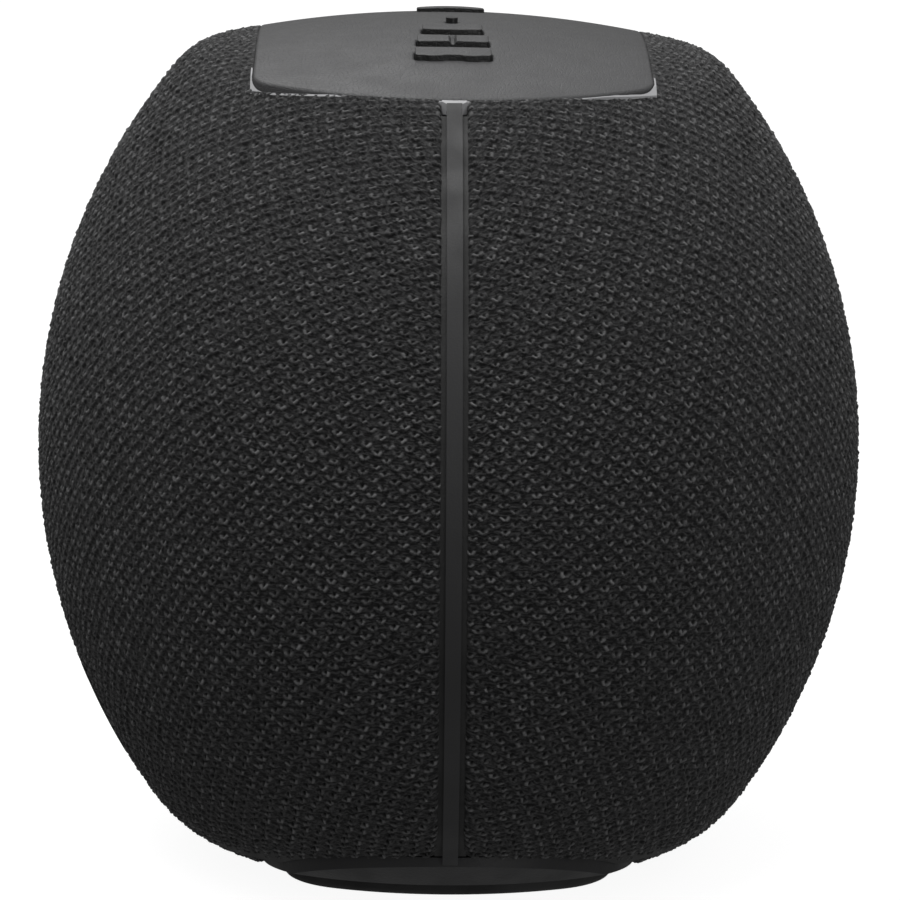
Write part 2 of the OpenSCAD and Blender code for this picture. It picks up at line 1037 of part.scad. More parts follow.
// Metal shell with its tongue
module usb_socket() {
    mouth_z = body_zc + port_z;
    color("silver") {
        difference() {
            box(port_floor_x + 0.1, port_board_x - 0.05, -12.5, -3.5, mouth_z - 1.6, mouth_z + 1.6);
            box(port_floor_x - 1, port_board_x - 1, -12.2, -3.8, mouth_z - 1.3, mouth_z + 1.3);
        }
        box(port_floor_x + 0.6, port_board_x - 0.9, -11, -5, mouth_z - 0.35, mouth_z + 0.35);
    }
}

module aux_socket() {
    color("black")
        difference() {
            rod_x(3, port_floor_x + 0.1, port_board_x - 0.05, 8, port_z);
            rod_x(1.75, port_floor_x - 1, port_board_x - 1, 8, port_z);
        }
}

// ---------- base ----------

module base_plate() {
    color("black")
        difference() {
            intersection() {
                body_form(0);
                base_column(0);
                between_z(0, body_zc - 58.5);
            }
            intersection() {
                body_form(grille_inset + grille_t);
                between_z(cabinet_floor - fit_gap, huge);
            }
            translate([0, 0, -1])
                linear_extrude(foot_recess_z + 1)
                    foot_outline(0.15);
            for (p = base_screw_places)
                translate([p[0], p[1], 0]) {
                    cylinder(h = 6, r = 3);
                    cylinder(h = 12, r = 1.7);
                }
        }
}

module foot_pad() {
    color("black") {
        linear_extrude(0.8)
            foot_outline(-0.7);
        translate([0, 0, 0.8])
            linear_extrude(foot_t - 0.8)
                foot_outline(0);
    }
}

module base_screws() {
    color("silver")
        for (p = base_screw_places)
            screw_z(p[0], p[1], foot_recess_z + 0.2, 2.7, 2, 1.2, 8);
}

front_fabric();
rear_fabric();
front_grille();
rear_grille();
seam_strip_left();
seam_strip_right();
top_trim();
top_panel();
key_volume_up();
key_play();
key_volume_down();
key_power();
key_pairing();
status_led();
key_mat();
button_board();
top_deck();
deck_screws();
front_cabinet();
rear_cabinet();
cabinet_gasket();
cabinet_screws();
driver_frame();
driver_top_plate();
driver_magnet();
driver_pole_piece();
driver_cone();
driver_coil();
driver_surround();
driver_spider();
driver_screws();
radiator_frame();
radiator_surround();
radiator_cone();
radiator_weight();
radiator_screws();
battery_cells();
battery_holder();
main_board();
board_capacitors();
board_coils();
heat_sink();
board_screws();
port_bezel();
port_board();
usb_socket();
aux_socket();
base_plate();
foot_pad();
base_screws();
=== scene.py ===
"""Looks of a portable bluetooth speaker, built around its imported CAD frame.

Everything is in metres in the part's own frame, but lengths that repeat the part's driving values are
written in millimetres and turned into metres where the meshes are made.
"""
import math
from functools import partial

import bpy
import numpy as np
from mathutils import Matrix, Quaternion, Vector
from mathutils.geometry import delaunay_2d_cdt


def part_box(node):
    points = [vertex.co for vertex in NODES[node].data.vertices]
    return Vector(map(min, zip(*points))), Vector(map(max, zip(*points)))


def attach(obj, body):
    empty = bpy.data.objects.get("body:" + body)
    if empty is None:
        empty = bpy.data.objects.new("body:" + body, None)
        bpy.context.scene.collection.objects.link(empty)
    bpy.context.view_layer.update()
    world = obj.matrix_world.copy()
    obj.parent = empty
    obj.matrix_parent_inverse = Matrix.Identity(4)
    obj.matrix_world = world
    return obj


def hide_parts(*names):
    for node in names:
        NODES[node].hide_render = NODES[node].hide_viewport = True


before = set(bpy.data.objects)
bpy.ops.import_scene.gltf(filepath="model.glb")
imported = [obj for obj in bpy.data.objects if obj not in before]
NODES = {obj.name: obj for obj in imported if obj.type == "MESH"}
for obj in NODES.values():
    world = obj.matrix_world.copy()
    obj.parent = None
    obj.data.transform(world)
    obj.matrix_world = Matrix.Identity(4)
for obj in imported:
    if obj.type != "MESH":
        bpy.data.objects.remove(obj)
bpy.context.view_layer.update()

MM = 0.001

# ---------- sizes that repeat the part's own, in millimetres ----------

BODY_DEPTH = 70.0
BODY_RADIUS = 86.3
GIRTH_ARC = 61.0
DOME_R = 180.0
DOME_X = -2.0
CROWN_H = 73.1
SEAM_HALF = 2.1
OPENING_HALF = 33.0
OPENING_ARC = 44.4
OPENING_END = 57.3
PANEL_GAP = 0.5
PANEL_T = 2.5
PANEL_CORNER = 8.0
BASE_END_R = 31.0
BASE_REACH = 31.0
FOOT_HALF_W = 27.5
FOOT_HALF_L = 44.0
FOOT_ARC = 46.0
FOOT_CORNER = 14.0
FOOT_T = 3.6
KEY_RISE = 0.85
KEY_GAP = 0.08
BAR_L = 4.4
KEY_CORNER = 0.6
PORT_HALF_W = 18.15
PORT_HALF_H = 7.15
PORT_Z = -44.0
DRIVER_Z = -2.0

driver_low, driver_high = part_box("driver_frame")
BODY_Z = (driver_low.z + driver_high.z) / 2 / MM - DRIVER_Z
HOUSING = "housing"

# ---------- small helpers ----------


def fract_noise(i, j, seed):
    """A fixed random number from 0 to 1 for each pair of whole or half numbers."""
    mixed = np.sin(i * 127.1 + j * 311.7 + seed * 74.7) * 43758.5453
    return mixed - np.floor(mixed)


def smooth_random(a, b, cell, seed):
    """Random numbers from -1 to 1 on a grid of square cells, blended smoothly between its points."""
    i = np.floor(a / cell)
    j = np.floor(b / cell)
    s = smooth_step(0, 1, a / cell - i)
    t = smooth_step(0, 1, b / cell - j)
    low = fract_noise(i, j, seed) * (1 - s) + fract_noise(i + 1, j, seed) * s
    high = fract_noise(i, j + 1, seed) * (1 - s) + fract_noise(i + 1, j + 1, seed) * s
    return 2 * (low * (1 - t) + high * t) - 1


def smooth_step(low, high, value):
    t = np.clip((value - low) / (high - low), 0, 1)
    return t * t * (3 - 2 * t)


def soft_min(a, b, k):
    """The lower of two heights, rounded where they meet."""
    blend = np.maximum(k - np.abs(a - b), 0) / np.maximum(k, 1e-6)
    return np.minimum(a, b) - blend * blend * k / 4


def mesh_object(name, points, faces, smooth=True):
    """A mesh object from points in millimetres, with z above the floor."""
    mesh = bpy.data.meshes.new(name)
    mesh.from_pydata([tuple(p) for p in np.asarray(points) * MM], [], faces)
    mesh.validate()
    for polygon in mesh.polygons:
        polygon.use_smooth = smooth
    obj = bpy.data.objects.new(name, mesh)
    bpy.context.scene.collection.objects.link(obj)
    return obj


def finish_piece(obj, material, body, slot, *replaced):
    obj.data.materials.clear()
    obj.data.materials.append(material)
    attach(obj, body)
    if replaced:
        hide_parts(*replaced)
    return obj


# ---------- materials ----------


class Look:
    """One procedural material."""

    def __init__(self, name):
        self.material = bpy.data.materials.new(name)
        self.material.use_nodes = True
        self.tree = self.material.node_tree
        self.shader = self.tree.nodes["Principled BSDF"]
        self.where = self.node("ShaderNodeTexCoord").outputs["Object"]

    def node(self, kind, **settings):
        made = self.tree.nodes.new(kind)
        for key, value in settings.items():
            setattr(made, key, value)
        return made

    def put(self, socket, value):
        if isinstance(value, bpy.types.NodeSocket):
            self.tree.links.new(value, socket)
        elif isinstance(value, (tuple, list)) and len(value) == 3 and len(socket.default_value) == 4:
            socket.default_value = (*value, 1.0)
        else:
            socket.default_value = value

    def math(self, operation, a, b=0.0, c=0.0, clamp=False):
        made = self.node("ShaderNodeMath", operation=operation, use_clamp=clamp)
        self.put(made.inputs[0], a)
        self.put(made.inputs[1], b)
        self.put(made.inputs[2], c)
        return made.outputs[0]

    def ramp(self, value, low, high, out_low=0.0, out_high=1.0):
        made = self.node("ShaderNodeMapRange", interpolation_type="SMOOTHSTEP")
        self.put(made.inputs["Value"], value)
        self.put(made.inputs["From Min"], low)
        self.put(made.inputs["From Max"], high)
        self.put(made.inputs["To Min"], out_low)
        self.put(made.inputs["To Max"], out_high)
        return made.outputs["Result"]

    def mix(self, share, a, b):
        made = self.node("ShaderNodeMix", data_type="RGBA")
        self.put(made.inputs[0], share)
        self.put(made.inputs[6], a)
        self.put(made.inputs[7], b)
        return made.outputs[2]

    def stretched(self, scale):
        made = self.node("ShaderNodeMapping")
        self.put(made.inputs["Vector"], self.where)
        made.inputs["Scale"].default_value = scale
        return made.outputs["Vector"]

    def noise(self, scale, detail=3.0, where=None, distortion=0.0):
        made = self.node("ShaderNodeTexNoise")
        self.put(made.inputs["Vector"], self.where if where is None else where)
        self.put(made.inputs["Scale"], scale)
        self.put(made.inputs["Detail"], detail)
        self.put(made.inputs["Distortion"], distortion)
        return made.outputs["Fac"]

    def cells(self, scale, feature="F1", where=None):
        made = self.node("ShaderNodeTexVoronoi", feature=feature)
        self.put(made.inputs["Vector"], self.where if where is None else where)
        self.put(made.inputs["Scale"], scale)
        return made.outputs["Distance"]

    def bands(self, scale, direction, distortion=0.0):
        made = self.node("ShaderNodeTexWave", bands_direction=direction)
        self.put(made.inputs["Vector"], self.where)
        self.put(made.inputs["Scale"], scale)
        self.put(made.inputs["Distortion"], distortion)
        return made.outputs["Fac"]

    def bump(self, height, distance, strength=1.0, under=None):
        made = self.node("ShaderNodeBump")
        self.put(made.inputs["Height"], height)
        self.put(made.inputs["Distance"], distance)
        self.put(made.inputs["Strength"], strength)
        if under is not None:
            self.put(made.inputs["Normal"], under)
        return made.outputs["Normal"]

    def finish(self, color, roughness, normal=None, metallic=0.0, **constants):
        self.put(self.shader.inputs["Base Color"], color)
        self.put(self.shader.inputs["Roughness"], roughness)
        self.shader.inputs["Metallic"].default_value = metallic
        for key, value in constants.items():
            self.shader.inputs[key.replace("_", " ")].default_value = value
        if normal is not None:
            self.put(self.shader.inputs["Normal"], normal)
        return self.material


def grained(name, dark, light, roughness, grain=2600, depth=0.00004, spread=0.08, **constants):
    """Moulded plastic or rubber: a fine grain over slow changes of tone."""
    look = Look(name)
    slow = look.noise(60, 4)
    fine = look.noise(grain, 2)
    pits = look.cells(grain * 0.8)
    tone = look.ramp(slow, 0.3, 0.7)
    rough = look.ramp(look.noise(180, 5), 0.3, 0.7, roughness - spread, roughness + spread)
    height = look.math("ADD", fine, look.math("MULTIPLY", pits, 0.6))
    return look.finish(look.mix(tone, dark, light), rough, look.bump(height, depth), **constants)


def metal(name, color, roughness, stretch=(400, 400, 6000), depth=0.00001):
    """Plated or drawn metal: fine lines along one axis, with duller patches."""
    look = Look(name)
    lines = look.noise(1.0, 4, look.stretched(stretch))
    patches = look.noise(90, 3)
    dull = [0.72 * v for v in color]
    both = look.math("ADD", look.math("MULTIPLY", lines, 0.5), look.math("MULTIPLY", patches, 0.5))
    tone = look.ramp(both, 0.35, 0.65)
    rough = look.ramp(patches, 0.3, 0.7, roughness - 0.07, roughness + 0.1)
    return look.finish(look.mix(tone, dull, color), rough, look.bump(lines, depth), metallic=1.0)


# One stitch of the knit, in millimetres across the flat cloth: a tuft on each side of a hole
STITCH_A = 3.44
STITCH_B = 2.94
LOBE_FOOT = (0.24, -0.2)
LOBE_TIP = (0.56, 0.24)
LOBE_R = 0.4
LOBE_HEIGHT = 0.45
HOLE_UP = 0.30
HOLE_R = 0.42
HOLE_DEPTH = 0.45
# How far the stitches stray from their lattice, and over what distance
WANDER = 0.24
WANDER_CELL = 2.3
# The mesh attribute that holds each point's place in the lattice
WEAVE = "weave"
GROUND_DARK = (0.005, 0.005, 0.0055)
GROUND_LIGHT = (0.058, 0.058, 0.059)
YARN_LIGHT = (0.2, 0.2, 0.202)
BRIGHT_TAIL = 1.9


def knit_look(name):
    """Two-tone knit: stitches of two bright tufts round a hole, on a dark lumpy ground. The left tuft of each
    stitch is painted brighter as light from the left, and the holes and pits are painted near black as shade.
    """
    look = Look(name)
    flat = look.node("ShaderNodeAttribute", attribute_name=WEAVE).outputs["Vector"]
    split = look.node("ShaderNodeSeparateXYZ")
    look.put(split.inputs[0], flat)
    lobe_x = LOBE_TIP[0] - LOBE_FOOT[0]
    lobe_y = LOBE_TIP[1] - LOBE_FOOT[1]
    lobe_length = math.hypot(lobe_x, lobe_y)
    lobes = []
    lit = []
    holes = []
    for shift in (0.0, 0.5):
        across = look.math("SUBTRACT", split.outputs[0], shift)
        along = look.math("SUBTRACT", split.outputs[1], shift)
        column = look.math("ROUND", across)
        row = look.math("ROUND", along)
        signed = look.math("MULTIPLY", look.math("SUBTRACT", across, column), STITCH_A)
        x = look.math("ABSOLUTE", signed)
        hand = look.math("SIGN", signed)
        y = look.math("MULTIPLY", look.math("SUBTRACT", along, row), STITCH_B)
        px = look.math("SUBTRACT", x, LOBE_FOOT[0])
        py = look.math("SUBTRACT", y, LOBE_FOOT[1])
        dot = look.math("ADD", look.math("MULTIPLY", px, lobe_x), look.math("MULTIPLY", py, lobe_y))
        t = look.math("DIVIDE", dot, lobe_length ** 2, clamp=True)
        gx = look.math("SUBTRACT", px, look.math("MULTIPLY", t, lobe_x))
        gy = look.math("SUBTRACT", py, look.math("MULTIPLY", t, lobe_y))
        away = look.math("SQRT", look.math("ADD", look.math("POWER", gx, 2.0), look.math("POWER", gy, 2.0)))
        stitch = look.node("ShaderNodeCombineXYZ")
        look.put(stitch.inputs[0], column)
        look.put(stitch.inputs[1], row)
        look.put(stitch.inputs[2], look.math("MULTIPLY_ADD", hand, 0.2, 3.0 + shift))
        random = look.node("ShaderNodeTexWhiteNoise", noise_dimensions="3D")
        look.put(random.inputs["Vector"], stitch.outputs[0])
        chance = random.outputs["Value"]
        second = look.node("ShaderNodeSeparateColor")
        look.put(second.inputs[0], random.outputs["Color"])
        reach = look.math("MULTIPLY_ADD", second.outputs[2], 0.16, LOBE_R - 0.06)
        lobe = look.ramp(look.math("DIVIDE", away, reach), 1.0, 0.2)
        lobes.append(lobe)
        # Painted light: the left tuft of each stitch is painted brighter than the right one, as light from
        # the left
        painted_left_light = look.math("MULTIPLY_ADD", hand, -0.17, 0.83)
        bright = look.math("MULTIPLY", look.math("POWER", chance, BRIGHT_TAIL), painted_left_light)
        lit.append(look.math("MULTIPLY", lobe, look.math("MULTIPLY_ADD", bright, 0.86, 0.14)))
        # Painted shade: the hole above each stitch is darkened, more in some holes than in others
        hole_y = look.math("SUBTRACT", y, HOLE_UP)
        gap = look.math("SQRT", look.math("ADD", look.math("POWER", x, 2.0), look.math("POWER", hole_y, 2.0)))
        gap = look.ramp(gap, HOLE_R, HOLE_R * 0.35)
        holes.append(look.math("MULTIPLY", gap, look.ramp(second.outputs[1], 0.1, 0.6, 0.55, 1.0)))
    lobe = look.math("MAXIMUM", lobes[0], lobes[1])
    share = look.math("MAXIMUM", lit[0], lit[1])
    hole = look.math("MAXIMUM", holes[0], holes[1])
    strands = look.node("ShaderNodeMapping")
    look.put(strands.inputs["Vector"], flat)
    strands.inputs["Scale"].default_value = (3.6, 6.0, 1.0)
    lumps = look.noise(1.0, 3, strands.outputs["Vector"], 0.6)
    specks = look.noise(34.0, 2, flat)
    # Painted shade: small pits in the ground between the tufts are darkened like the holes
    pits = look.ramp(look.noise(4.6, 2, flat), 0.42, 0.34)
    pits = look.math("MULTIPLY", pits, look.math("SUBTRACT", 1.0, lobe))
    hole = look.math("MAXIMUM", hole, look.math("MULTIPLY", pits, 0.85))
    ground = look.mix(look.ramp(lumps, 0.38, 0.66), GROUND_DARK, GROUND_LIGHT)
    # The tufts' tone: random per tuft, speckled, and with the painted light from the left
    speckled_tufts_and_painted_light = look.math("MULTIPLY", share, look.ramp(specks, 0.25, 0.6, 0.7, 1.0))
    tone = look.mix(speckled_tufts_and_painted_light, ground, YARN_LIGHT)
    # The holes and pits are painted near black as shade
    tone = look.mix(look.math("MULTIPLY", hole, 0.9), tone, (0.002, 0.002, 0.002))
    raised = look.math("ADD", look.math("MULTIPLY", lobe, 0.5), look.math("MULTIPLY", lumps, 0.8))
    height = look.math("ADD", raised, look.math("MULTIPLY", specks, 0.25))
    rough = look.ramp(lumps, 0.2, 0.8, 0.68, 0.9)
    return look.finish(
        tone, rough, look.bump(height, 0.00022),
        Sheen_Weight=0.1, Sheen_Roughness=0.5, Specular_IOR_Level=0.25,
    )


def board_look(name):
    """Solder mask with copper tracks under it and bare pads."""
    look = Look(name)
    tracks = look.ramp(look.cells(700, "DISTANCE_TO_EDGE"), 0.03, 0.07)
    pads = look.ramp(look.cells(420), 0.12, 0.16)
    mask = look.mix(tracks, (0.05, 0.2, 0.1), (0.02, 0.11, 0.055))
    tone = look.mix(pads, (0.55, 0.5, 0.4), mask)
    rough = look.ramp(look.noise(300, 3), 0.3, 0.7, 0.28, 0.42)
    return look.finish(tone, rough, look.bump(tracks, 0.00002))


def paper_look(name):
    look = Look(name)
    fibres = look.noise(900, 5, distortion=0.8)
    blots = look.noise(120, 3)
    tone = look.mix(look.ramp(blots, 0.3, 0.7), (0.022, 0.022, 0.023), (0.05, 0.05, 0.052))
    return look.finish(tone, look.ramp(fibres, 0.3, 0.7, 0.75, 0.92), look.bump(fibres, 0.00008))


def woven_look(name, dark, light):
    """Plain woven cloth, such as the driver's spider."""
    look = Look(name)
    warp = look.bands(420, "Y")
    weft = look.bands(420, "Z")
    over = look.math("MULTIPLY", warp, weft)
    tone = look.mix(look.ramp(over, 0.05, 0.7), dark, light)
    return look.finish(tone, look.ramp(look.noise(400), 0.3, 0.7, 0.8, 0.95), look.bump(over, 0.00008))


def foam_look(name):
    look = Look(name)
    cells = look.cells(1500)
    tone = look.mix(look.ramp(cells, 0.1, 0.6), (0.015, 0.015, 0.015), (0.06, 0.06, 0.06))
    return look.finish(tone, look.ramp(cells, 0.0, 0.6, 0.8, 0.95), look.bump(cells, 0.00015))


def wound_look(name):
    """Enamelled copper wire in close turns along X."""
    look = Look(name)
    turns = look.bands(560, "X", 0.15)
    tone = look.mix(turns, (0.22, 0.08, 0.03), (0.85, 0.42, 0.2))
    rough = look.ramp(look.noise(300), 0.3, 0.7, 0.25, 0.4)
    return look.finish(tone, rough, look.bump(turns, 0.0001), metallic=1.0)


def ferrite_look(name):
    look = Look(name)
    grains = look.noise(1400, 4)
    tone = look.mix(look.ramp(grains, 0.35, 0.65), (0.045, 0.045, 0.05), (0.14, 0.14, 0.15))
    return look.finish(tone, look.ramp(grains, 0.3, 0.7, 0.45, 0.65), look.bump(grains, 0.00006))


def panel_look(name, dark, light, roughness, wall_shade=1.0):
    """Soft-touch rubber skin with a fine leathery grain. The grain's creases and the middle of the skin's
    length are painted darker as shade, and walls that face sideways are perhaps painted darker as shade too.
    """
    look = Look(name)
    creases = look.ramp(look.cells(1300, "DISTANCE_TO_EDGE"), 0.0, 0.16)
    slow = look.noise(420, 5)
    fine = look.noise(3800, 2)
    tone = look.mix(look.ramp(slow, 0.3, 0.7), dark, light)
    # Painted shade: the grain's creases are darkened
    tone = look.mix(look.ramp(creases, 0.0, 1.0, 0.22, 0.0), tone, [0.6 * v for v in dark])
    # Painted shade: the skin is darker towards the middle of its length, so its ends look brighter
    place = look.node("ShaderNodeSeparateXYZ")
    look.put(place.inputs[0], look.where)
    from_middle = look.math("ABSOLUTE", place.outputs["Y"])
    tone = look.mix(look.ramp(from_middle, 0.052, 0.0, 0.0, 0.5), tone, [0.35 * v for v in dark])
    # Painted shade: surfaces that face sideways take the dark colour scaled by the wall factor, darker than
    # the tops by the way they face
    facing = look.node("ShaderNodeSeparateXYZ")
    look.put(facing.inputs[0], look.node("ShaderNodeTexCoord").outputs["Normal"])
    tone = look.mix(look.ramp(facing.outputs["Z"], 0.45, 0.9), [wall_shade * v for v in dark], tone)
    rough = look.ramp(look.noise(140, 4), 0.3, 0.7, roughness - 0.05, roughness + 0.07)
    height = look.math("ADD", creases, look.math("MULTIPLY", fine, 0.5))
    return look.finish(tone, rough, look.bump(height, 0.000035))


LOOKS = {
    "knit_fabric": knit_look("look_knit"),
    "grille_plastic": grained("look_grille", (0.018, 0.018, 0.018), (0.03, 0.03, 0.03), 0.6),
    "strip_plastic": grained("look_strip", (0.024, 0.024, 0.025), (0.03, 0.03, 0.031), 0.52, 3200, 0.00002),
    "trim_plastic": grained("look_trim", (0.36, 0.36, 0.37), (0.43, 0.43, 0.44), 0.42, 3000, 0.00002),
    "panel_rubber": panel_look("look_panel", (0.06, 0.06, 0.062), (0.066, 0.066, 0.068), 0.42),
    # The keys' walls are painted near black as shade
    "key_rubber": panel_look("look_key", (0.06, 0.06, 0.062), (0.066, 0.066, 0.068), 0.42, 0.04),
    "light_pipe": grained("look_light_pipe", (0.012, 0.012, 0.012), (0.02, 0.02, 0.02), 0.25, 1500, 0.00001),
    "silicone": grained("look_silicone", (0.5, 0.5, 0.5), (0.6, 0.6, 0.59), 0.6, 1200, 0.00004),
    "circuit_board": board_look("look_board"),
    "frame_plastic": grained("look_frame", (0.028, 0.028, 0.028), (0.05, 0.05, 0.05), 0.55, 1500, 0.00005),
    "screw_steel": metal("look_screw", (0.55, 0.55, 0.56), 0.32, (900, 900, 900)),
    "gasket_foam": foam_look("look_foam"),
    "plated_steel": metal("look_plated", (0.6, 0.6, 0.58), 0.3),
    "ferrite": ferrite_look("look_ferrite"),
    "cone_paper": paper_look("look_paper"),
    "coil_copper": wound_look("look_copper"),
    "roll_rubber": grained("look_roll", (0.018, 0.018, 0.018), (0.032, 0.032, 0.032), 0.62, 1800, 0.00003),
    "spider_cloth": woven_look("look_spider", (0.3, 0.19, 0.06), (0.66, 0.48, 0.22)),
    "cell_wrap": grained("look_wrap", (0.06, 0.17, 0.36), (0.1, 0.25, 0.45), 0.24, 500, 0.00002),
    "capacitor_sleeve": grained(
        "look_sleeve", (0.015, 0.015, 0.025), (0.035, 0.035, 0.05), 0.26, 700, 0.00001
    ),
    "heat_sink_aluminium": metal("look_aluminium", (0.62, 0.62, 0.64), 0.35, (6000, 300, 300)),
    "socket_steel": metal("look_socket", (0.62, 0.62, 0.64), 0.28, (300, 5000, 5000)),
    "foot_rubber": grained("look_foot", (0.02, 0.02, 0.02), (0.034, 0.034, 0.034), 0.7, 1500, 0.00006),
    "base_plastic": grained("look_base", (0.016, 0.016, 0.017), (0.026, 0.026, 0.027), 0.42, 2400, 0.00003),
}

for node in NODES.values():
    for index, used in enumerate(node.data.materials):
        slot_name = used.name.split(".")[0]
        if slot_name in LOOKS:
            node.data.materials[index] = LOOKS[slot_name]

# ---------- the body's form ----------

POLE_ARC = (BODY_DEPTH ** 2 + BODY_RADIUS ** 2 - 2 * BODY_RADIUS * GIRTH_ARC) / (2 * (BODY_DEPTH - GIRTH_ARC))
POLE_CENTRE = POLE_ARC - BODY_DEPTH
GIRTH_CENTRE = BODY_RADIUS - GIRTH_ARC
SPLIT_ANGLE = math.atan2(GIRTH_CENTRE, POLE_CENTRE)
SPLIT_LENGTH = POLE_ARC * SPLIT_ANGLE
SEAM_LENGTH = SPLIT_LENGTH + GIRTH_ARC * (math.pi / 2 - SPLIT_ANGLE)
SEAM_EDGE = SEAM_LENGTH - SEAM_HALF
UNDER_R = 200.0
UNDER_DEPTH = 72.5
UNDER_ROUND = 8.0
FRONT_SHOULDER_ROUND = 3.4
REAR_SHOULDER_ROUND = 3.0
RIM_ROUND = 0.6
FLOOR_ROUND = 2.0
CLOTH_OFF_FLOOR = 1.2
# How far the cloth reaches over the trim, and how it is turned in along its edges
OVER_TRIM = 0.6
FOLD_R = 0.9
OPENING_FOLD_R = 0.3
SKIRT = 1.7
CALM_WIDTH = 1.4
BASE_GAP = 0.15
BASE_CORNER = 1.2
OPENING_CORNER = 0.8
# A distance for points that are nowhere near an edge
FAR = 99.0
# Middle of the relief, which the cloth surface is set back by
GROUND = 0.38


def oval_at(s):
    """Depth and radius of the oval profile at arc length s from its pole."""
    near = s / POLE_ARC
    far = SPLIT_ANGLE + (s - SPLIT_LENGTH) / GIRTH_ARC
    inner = s < SPLIT_LENGTH
    x = np.where(inner, POLE_ARC * np.cos(near) - POLE_CENTRE, GIRTH_ARC * np.cos(far))
    r = np.where(inner, POLE_ARC * np.sin(near), GIRTH_CENTRE + GIRTH_ARC * np.sin(far))
    return x, r


def ball_reach(x, up, centre_x, centre_z, radius, outward):
    """How far a ray in the plane at depth x reaches to a ball, from the body's long axis."""
    half = centre_z * up
    inside = np.maximum(half * half + radius ** 2 - centre_z ** 2 - (x - centre_x) ** 2, 0)
    return half + outward * np.sqrt(inside)


def cloth_surface(a, b, side):
    """Point on the body's outer surface for flat cloth coordinates, from the middle of the body."""
    s = np.hypot(a, b)
    safe = np.maximum(s, 1e-6)
    across = a / safe
    up = b / safe
    x, r = oval_at(s)
    dome = ball_reach(side * x, up, DOME_X, CROWN_H - DOME_R, DOME_R, 1)
    under = ball_reach(x, up, 0, UNDER_R - UNDER_DEPTH, UNDER_R, 1)
    full_round = FRONT_SHOULDER_ROUND if side > 0 else REAR_SHOULDER_ROUND
    shoulder = RIM_ROUND + (full_round - RIM_ROUND) * smooth_step(12, 34, x)
    r = soft_min(r, dome, shoulder)
    r = soft_min(r, under, UNDER_ROUND)
    floor_reach = (BODY_Z - CLOTH_OFF_FLOOR) / np.maximum(-up, 0.2)
    r = soft_min(r, floor_reach, FLOOR_ROUND)
    return np.stack([side * x, r * across, r * up], axis=-1)


def rounded_meet(first, second, radius):
    """The nearer of two edge distances, with a round corner where the edges meet."""
    corner = radius - np.hypot(np.maximum(radius - first, 0), np.maximum(radius - second, 0))
    both = (first < radius) & (second < radius)
    return np.where(both, corner, np.minimum(first, second))


def opening_distance(point):
    """Distance in millimetres outwards from the edge of the cloth at the opening for the panel."""
    x, y, z = point[..., 0], point[..., 1], point[..., 2]
    ends = np.hypot(x, np.abs(y) - OPENING_END + OPENING_ARC) - OPENING_ARC
    return np.where(z > 20, np.maximum(np.abs(x) - OPENING_HALF, ends) + OVER_TRIM, FAR)


def edge_distance(a, b, side):
    """Distance in millimetres from a flat cloth point to the nearest cut edge, and below 0 past it."""
    point = cloth_surface(a, b, side)
    x, y, z = point[..., 0], point[..., 1], point[..., 2]
    seam = SEAM_EDGE - np.hypot(a, b)
    opening = opening_distance(point)
    beyond = np.maximum(np.abs(y) - BASE_REACH, 0)
    base = np.where(z < -20, np.hypot(x, beyond) - BASE_END_R - BASE_GAP, FAR)
    edge = rounded_meet(seam, opening * FOLD_R / OPENING_FOLD_R, OPENING_CORNER)
    edge = rounded_meet(edge, base, BASE_CORNER)
    if side < 0:
        port = np.maximum(np.abs(y) - PORT_HALF_W, np.abs(z - PORT_Z) - PORT_HALF_H)
        edge = np.minimum(edge, port)
    return edge


def stitch_place(a, b):
    """Where flat cloth points lie in the lattice of stitches, which is slightly uneven."""
    u = (a + WANDER * smooth_random(a, b, WANDER_CELL, 5.0)) / STITCH_A
    v = (b + WANDER * smooth_random(a, b, WANDER_CELL, 9.0)) / STITCH_B
    return u, v


def knit_height(u, v):
    """Relief of the knit in millimetres: tufts and holes in a diamond lattice, and the strands between."""
    foot = np.array(LOBE_FOOT)
    lobe = np.array(LOBE_TIP) - foot
    height = np.zeros_like(u)
    hole = np.zeros_like(u)
    for shift in (0.0, 0.5):
        column = np.round(u - shift)
        row = np.round(v - shift)
        signed = (u - shift - column) * STITCH_A
        x = np.abs(signed)
        y = (v - shift - row) * STITCH_B
        t = np.clip(((x - foot[0]) * lobe[0] + (y - foot[1]) * lobe[1]) / (lobe @ lobe), 0, 1)
        away = np.hypot(x - foot[0] - t * lobe[0], y - foot[1] - t * lobe[1])
        lift = 0.75 + 0.4 * fract_noise(column + shift + 0.2 * np.sign(signed), row + shift, 1.0)
        height = np.maximum(height, LOBE_HEIGHT * lift * smooth_step(LOBE_R * 1.3, LOBE_R * 0.2, away))
        gap = smooth_step(HOLE_R * 1.2, HOLE_R * 0.2, np.hypot(x, y - HOLE_UP))
        hole = np.maximum(hole, gap * (0.5 + 0.5 * fract_noise(column + shift, row + shift, 2.0)))
    rising = np.abs((u + v + 0.5) % 1.0 - 0.5)
    falling = np.abs((u - v + 0.5) % 1.0 - 0.5)
    strand = 0.1 * smooth_step(0.2, 0.02, np.minimum(rising, falling))
    lumps = 0.15 * smooth_random(u, v, 0.2, 3.0)
    return np.maximum(height, strand) + lumps - HOLE_DEPTH * hole


